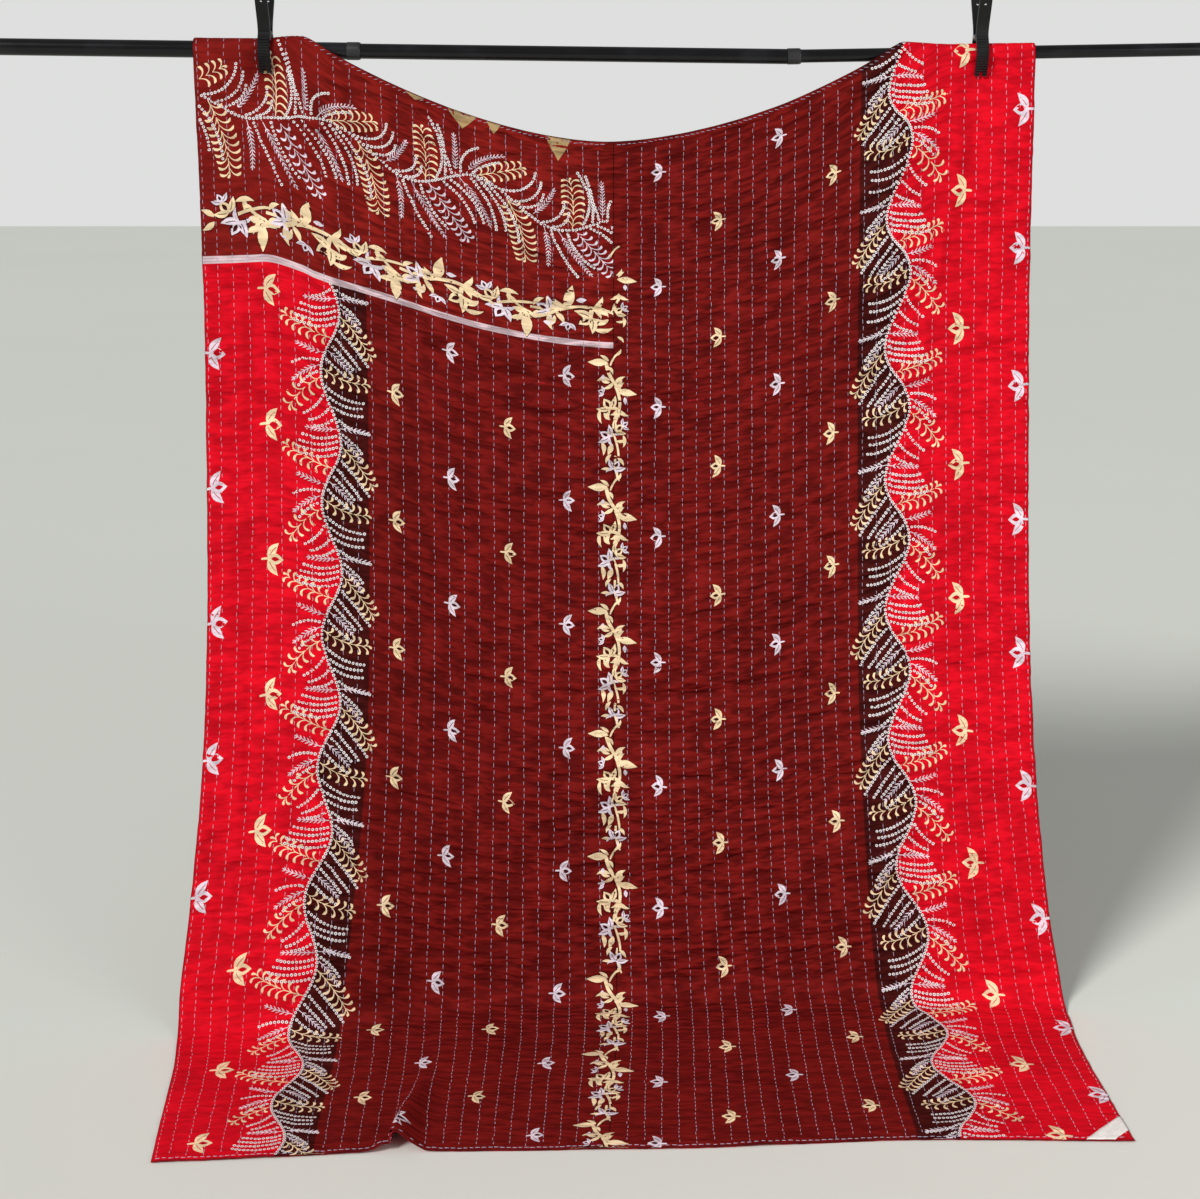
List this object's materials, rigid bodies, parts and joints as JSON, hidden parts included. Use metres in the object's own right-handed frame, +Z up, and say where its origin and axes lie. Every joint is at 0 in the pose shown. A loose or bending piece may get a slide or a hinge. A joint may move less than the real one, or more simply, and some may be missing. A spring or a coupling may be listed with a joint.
{
  "type": "quilt hanging on a rod from two clamps",
  "caption": "Printed kantha quilt clamped over a telescopic rod, its top edge sagging between the clamps and its lower end lying on the floor.",
  "frame": {"origin": "middle of the object's box at floor level", "axes": "+Z up, +X to the right along the rod as seen from the printed side, the printed side towards -Y"},
  "size_m": [2.1204, 0.7212, 1.6855],
  "materials": {
    "left_print": "soft washed cotton, maroon with a red border and a printed end band",
    "right_print": "soft washed cotton, maroon with a red border",
    "backing_cloth": "plain red cotton",
    "label_cloth": "plain off-white tape, left bare",
    "rod_enamel": "satin black enamel",
    "rod_plastic": "satin black plastic",
    "clamp_plastic": "satin black nylon",
    "clamp_steel": "dull zinc plated"
  },
  "bodies": {
    "hung_quilt": {"left_panel": "left_print", "right_panel": "right_print", "backing": "backing_cloth", "corner_label": "label_cloth", "rod_tube_wide": "rod_enamel", "rod_tube_middle": "rod_enamel", "rod_tube_narrow": "rod_enamel", "rod_collar_wide": "rod_plastic", "rod_collar_middle": "rod_plastic", "rod_cap_left": "rod_plastic", "rod_cap_right": "rod_plastic", "left_clamp_back_lever": "clamp_plastic", "left_clamp_pin": "clamp_steel", "left_clamp_spring": "clamp_steel", "right_clamp_back_lever": "clamp_plastic", "right_clamp_pin": "clamp_steel", "right_clamp_spring": "clamp_steel"},
    "left_clamp_lever": {"left_clamp_front_lever": "clamp_plastic"},
    "right_clamp_lever": {"right_clamp_front_lever": "clamp_plastic"}
  },
  "joints": [
    {"name": "left_clamp_hinge", "type": "hinge", "parent": "hung_quilt", "child": "left_clamp_lever", "pos_m": [-0.551, 0.3155, 1.62359], "axis": [-1, 0, 0], "range_deg": [0, 18], "stiffness_Nm_per_rad": 0.6, "springref_deg": -11.46},
    {"name": "right_clamp_hinge", "type": "hinge", "parent": "hung_quilt", "child": "right_clamp_lever", "pos_m": [0.627, 0.3155, 1.61852], "axis": [-1, 0, 0], "range_deg": [0, 18], "stiffness_Nm_per_rad": 0.6, "springref_deg": -11.46}
  ]
}
